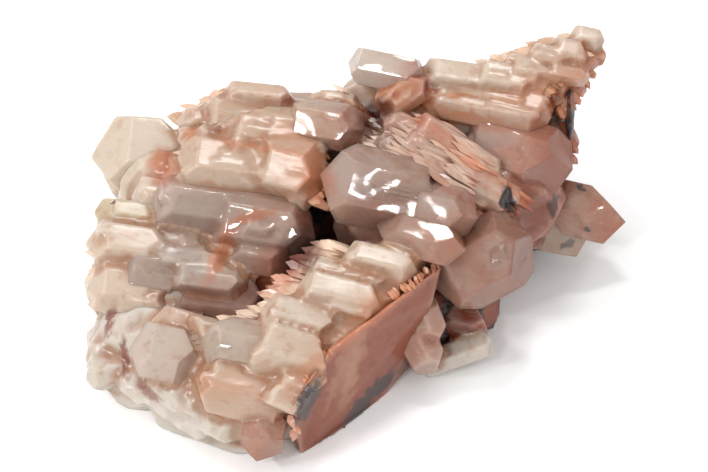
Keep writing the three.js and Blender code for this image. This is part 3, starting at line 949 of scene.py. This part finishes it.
redFoot = {
    "grain": 0.5,
    "fuse": 0.6,
    "soften": 2,
    "crystals": {
        "bigBrown": [30.8, -5, 27, 29, 20, 17, -28, 12, 30, 42, "brownPink", "brownPink", "clear", 1],
        "darkRed": [41.5, 4.5, 16, 17, 14, 12, 10, 0, 0, 42, "terracotta", "red", "cloudy", 1],
        "darkRedHigh": [37, 4, 22, 14, 12, 12, 20, 0, 0, 42, "red", "deepRed", "cloudy", 2],
        "redLow": [26.8, -20.4, 9, 13, 9, 9, 15, 0, 0, 42, "red", "terracotta", "cloudy", 1],
        "pinkLow": [16, -26, 11, 16, 10, 10, 60, 0, 0, 42, "pink", "greyPink", "cloudy", 1],
        "pinkMiddle": [17, -20, 16, 14, 10, 10, 70, 0, 0, 42, "pink", "terracotta", "cloudy", 1],
        "greySlab": [24.8, -28.4, 4.5, 20, 7, 9, -20, 0, 0, 30, "base", "base", "cloudy", 1],
    },
}

greyLobes = {
    "grain": 0.52,
    "fuse": 1.5,
    "soften": 4,
    "rounded": 6,
    "crystals": {
        "underBlock": [-34.5, -15, 16, 25, 15, 14, 6, 0, 0, 32, "brownPink", "red", "clear", 1],
        "greyBig": [-37.8, 8, 31, 27, 15, 14, 8, 0, 22, 36, "lavender", "greyPink", "clear", 2],
        "greyOver": [-22.8, 3, 30, 27, 17, 14, 10, 10, 30, 42, "greyPink", "terracotta", "clear", 2],
        "greyMiddle": [-23, -3, 25, 20, 13, 13, 12, 15, 0, 42, "greyPink", "terracotta", "clear", 1],
        "leftLobe": [-57, -2.4, 25, 22, 14, 12, 8, 0, 0, 45, "cream", "greyPink", "cloudy", 1],
        "leftLobeLow": [-57.5, -13, 19, 20, 13, 12, 5, 0, 0, 45, "cream", "greyPink", "cloudy", 1],
        "leftLobeInner": [-50, -8.6, 22, 20, 13, 12, 8, 0, 20, 42, "grey", "greyPink", "clear", 1],
        "leftYellow": [-55.5, 5.6, 27, 20, 9, 10, 6, 0, 0, 45, "yellow", "cream", "cloudy", 1],
    },
    "infill": {
        "left": [[-57, 6, 26], [-54, -17, 18], 9, 15, 7, 9, 7, "cream", "greyPink"],
        "middle": [[-50, 2, 26.5], [-36, -10, 23.5], 9, 16, 7, 9, 8, "grey", "cream"],
        "hollow": [[-22, -4, 22], [-26, -13, 16], 4, 14, 8, 8, 20, "terracotta", "red"],
    },
    "blades": {
        "leftSteps": [[-60, 9, 27], [-63.5, -4, 23], 8, 7, 2.2, 3.4, 8, "cream", "cream"],
        "leftStepsLow": [[-63.5, -6, 21], [-62, -17, 16], 7, 7, 2.2, 3.4, 8, "cream", "cream"],
        "orangeTips": [[-13, 3, 27], [-20, -14, 19], 14, 6, 2, 3, 52, "orange", "terracotta"],
    },
    "lumps": {
        "ridgeMiddle": [-36, -9, 19, 23, 16, 17, "cream"],
    },
}

creamRidge = {
    "grain": 0.5,
    "fuse": 1.8,
    "soften": 1,
    "crystals": {
        "creamLong": [-30, 18, 37, 30, 15, 14, 8, 0, 0, 36, "beige", "cream", "cloudy", 4],
        "creamLeft": [-37, 17, 33, 17, 13, 12, 8, 0, 0, 38, "cream", "beige", "cloudy", 3],
        "creamRight": [-16, 17, 40, 20, 16, 13, 12, 20, 30, 42, "beige", "orange", "cloudy", 3],
        "creamUpper": [-36, 26.5, 37, 18, 12, 12, 6, 0, 0, 38, "cream", "beige", "cloudy", 3],
        "creamTop": [-21.5, 25, 41, 24, 12, 12, 8, 0, 0, 38, "beige", "orange", "cloudy", 4],
        "creamLow": [-46.5, 10, 29, 20, 11, 11, 8, 0, 0, 40, "cream", "yellow", "cloudy", 2],
    },
    "infill": {
        "lower": [[-42, 12, 33], [-14, 20, 41], 12, 15, 6, 9, 8, "beige", "cream"],
        "middle": [[-38, 19, 37], [-14, 24, 43], 14, 15, 4, 9, 8, "beige", "cream"],
        "upper": [[-37, 24, 38.5], [-14, 30, 44.5], 12, 15, 5, 9, 8, "beige", "beige"],
        "edge": [[-12, 22, 41], [-14, 10, 36], 5, 12, 8, 9, 14, "beige", "orange"],
    },
    "blades": {
        "creamTips": [[-10, 24, 43], [-9, 8, 36], 10, 7, 2, 3, 24, "beige", "orange"],
        "creamLines": [[-40, 21, 38], [-16, 24, 43], 14, 12, 1.8, 2.4, 8, "beige", "beige"],
    },
    "lumps": {
        "ridgeTop": [-22, 6, 27, 24, 13, 17, "beige"],
        "leftShoulder": [-49.5, -4, 22.5, 11, 10, 11, "cream"],
    },
}

backSide = {
    "grain": 0.75,
    "soften": 2,
    "backCrystals": {
        "farLeft": [-55, 10, 13, 20, 15, 13, 5, 0, 10, 42, "cream", "beige"],
        "farLeftLow": [-44, 17, 9, 18, 13, 12, -20, 0, 0, 42, "cream", "beige"],
        "farSlope": [-34, 18, 16, 22, 14, 12, 8, -15, 20, 40, "beige", "orange"],
        "farRidge": [-16, 20, 20, 24, 14, 13, 6, -10, 0, 40, "beige", "orange"],
        "farMiddle": [3, 22, 27, 20, 14, 13, 10, -20, 30, 42, "greyPink", "orange"],
        "farBlock": [20, 24, 24, 24, 15, 13, 8, -10, 0, 38, "greyPink", "terracotta"],
        "farHigh": [36, 22, 32, 20, 13, 12, 12, -15, 10, 42, "beige", "orange"],
        "farEnd": [45, 21, 30, 15, 12, 11, 16, 0, 0, 42, "beige", "terracotta"],
    },
    "lumps": {
        "ridgeTop": [-22, 6, 26, 23, 12, 16, "beige"],
        "backRidge": [18, 8, 31, 27, 11, 16, "beige"],
    },
}

sideCrystals = {
    "grain": 0.4,
    "soften": 1,
    "crystals": {
        "sidePoint": [56.6, 7.4, 17, 24, 16, 12, 13, 5, 0, 54, "pink", "rust", "clear", 1],
        "sidePale": [51, 3.6, 13, 17, 14, 11, 10, 0, 0, 42, "cream", "beige", "clear", 1],
    },
}

makeBladeMasters()

# The groups come in the order in which the plain part deals its numbers
faceDice = FaceDice(7)
for name, group in (
    ("leftEnd", leftEnd),
    ("crest", crest),
    ("rightEnd", rightEnd),
    ("heart", heart),
    ("frontRidge", frontRidge),
    ("redFoot", redFoot),
    ("greyLobes", greyLobes),
    ("creamRidge", creamRidge),
    ("backSide", backSide),
):
    growGroup(name, group, "crystal_cluster", faceDice)
growGroup("sideCrystals", sideCrystals, "side_crystal", FaceDice(19))


# The smooth red break at the front right: how far and which way it goes in, and its corners
redBreak = {
    "grain": 0.55,
    "soften": 2,
    "thick": 17,
    "into": (-0.2, 0.7, -0.6),
    "corners": [
        [21, -6.4, 32], [19, -15, 24], [13, -31.9, 0], [7.2, -38.4, 0],
        [-2.8, -46.4, 0], [-13.5, -52.5, 0], [-15.5, -39.4, 22], [-5.8, -26.2, 28.5],
    ],
}


def growBreak():
    deselect()
    corners = [placeOf(*corner) for corner in redBreak["corners"]]
    bpy.ops.mesh.primitive_circle_add(vertices=len(corners), fill_type="NGON")
    slab = bpy.context.object
    for vertex, corner in zip(slab.data.vertices, corners):
        vertex.co = corner
    bpy.ops.object.mode_set(mode="EDIT")
    bpy.ops.mesh.select_all(action="SELECT")
    into = Vector(redBreak["into"]).normalized() * redBreak["thick"] * mm
    bpy.ops.mesh.extrude_region_move(TRANSFORM_OT_translate={"value": into})
    bpy.ops.mesh.select_all(action="SELECT")
    bpy.ops.mesh.normals_make_consistent(inside=False)
    bpy.ops.object.mode_set(mode="OBJECT")
    addTo(cloudy, slab, Matrix.Identity(4), 1, "wall", "wall")


growBreak()
skin = finishCloudy(cloudy, redBreak["grain"], redBreak["soften"])
settle(skin, "redBreak", "crystal_cluster", wallCalcite)

# The dark rock that the crystals sit on, a little smaller than the plain one, which keeps it under them.
# Lumps: x, y, z and their three radii.
matrixRock = {
    "grain": 0.8,
    "soften": 1,
    "uneven": 0.1,
    "size": 0.97,
    "lumps": {
        "front": [-4, -26, 3, 34, 24, 9],
        "rightFoot": [17, -25, 5, 20, 18, 12],
        "rightSide": [36, 5, 12, 17, 18, 19],
        "backFoot": [8, 12, 8, 34, 20, 16],
        "leftFoot": [-30, 2, 6, 32, 20, 12],
        "rightBack": [47, 12, 27, 8, 9, 14],
        "crestPlate": [53.6, 3, 41, 1.2, 5, 9],
        "darkHollow": [37.5, -19, 32.5, 3, 4, 4],
    },
}
dice = random.Random("rock")
for row in matrixRock["lumps"].values():
    radii = [radius * matrixRock["size"] for radius in row[3:]]
    growLump(backPlace(*row[:3]), radii, "deepRed", dice, matrixRock["uneven"])
skin = finishCloudy(cloudy, matrixRock["grain"], matrixRock["soften"])
settle(skin, "matrixRock", "matrix", rock)

for blade in bladeMasters:
    bpy.data.objects.remove(blade)
print("rock done")


# Floor, light and camera. The camera looks at aim, which is right, up and out in millimetres.
studio = {
    "floor": 3.0,
    "paper": (0.97, 0.97, 0.97, 1),
    "room": 0.8,
    "aim": (-0.6, 1.1, 30),
    "distance": 1.2,
    "frameWidth": 0.177,
    "film": 36,
}
deselect()
bpy.ops.mesh.primitive_plane_add(size=studio["floor"], location=(0, 0, -0.0002))
floor = bpy.context.object
floor.name = "floor"
paper, paperNodes, paperLinks, paperShader = newMaterial("paper")
paperShader.inputs["Base Color"].default_value = studio["paper"]
paperShader.inputs["Roughness"].default_value = 0.9
floor.data.materials.append(paper)

scene = bpy.context.scene
scene.view_settings.view_transform = "Standard"
scene.world = bpy.data.worlds.new("whiteRoom")
scene.world.use_nodes = True
room = scene.world.node_tree.nodes["Background"]
room.inputs["Color"].default_value = (1, 1, 1, 1)
room.inputs["Strength"].default_value = studio["room"]

# Windows: how far right and up in the picture they stand as seen from the crystals, in degrees,
# then distance, width and height in metres, and watts
windows = {
    "overhead": [5, 63, 0.7, 0.16, 0.08, 1.3],
    "leftWindow": [-45, 7, 0.7, 0.18, 0.06, 1.5],
    "frontWindow": [-20, 3, 1.0, 0.12, 0.06, 1.5],
    "rightWindow": [22, -7, 1.0, 0.10, 0.05, 1.0],
    "softLeft": [-70, 50, 0.9, 0.6, 0.5, 1.6],
}


def addWindow(name, right, up, distance, width, height, power):
    right = math.radians(right)
    up = math.radians(up)
    level = math.cos(up)
    way = rightWay * math.sin(right) * level + upWay * math.sin(up) + outWay * math.cos(right) * level
    target = Vector((0, 0, 30 * mm))
    bpy.ops.object.light_add(type="AREA", location=target + way * distance)
    light = bpy.context.object
    light.name = name
    light.data.shape = "RECTANGLE"
    light.data.size = width
    light.data.size_y = height
    light.data.energy = power
    light.rotation_euler = (-way).to_track_quat("-Z", "Y").to_euler()


for name, window in windows.items():
    addWindow(name, *window)

aimRight, aimUp, aimOut = studio["aim"]
middle = Vector((0, -layout["middleY"], 0)) + rightWay * aimRight + upWay * aimUp + outWay * aimOut
bpy.ops.object.camera_add(location=middle * mm + outWay * studio["distance"])
camera = bpy.context.object
camera.rotation_euler = (-outWay).to_track_quat("-Z", "Y").to_euler()
camera.data.sensor_width = studio["film"]
camera.data.lens = studio["film"] * studio["distance"] / studio["frameWidth"]
camera.data.clip_end = 20
scene.camera = camera
print("studio done")
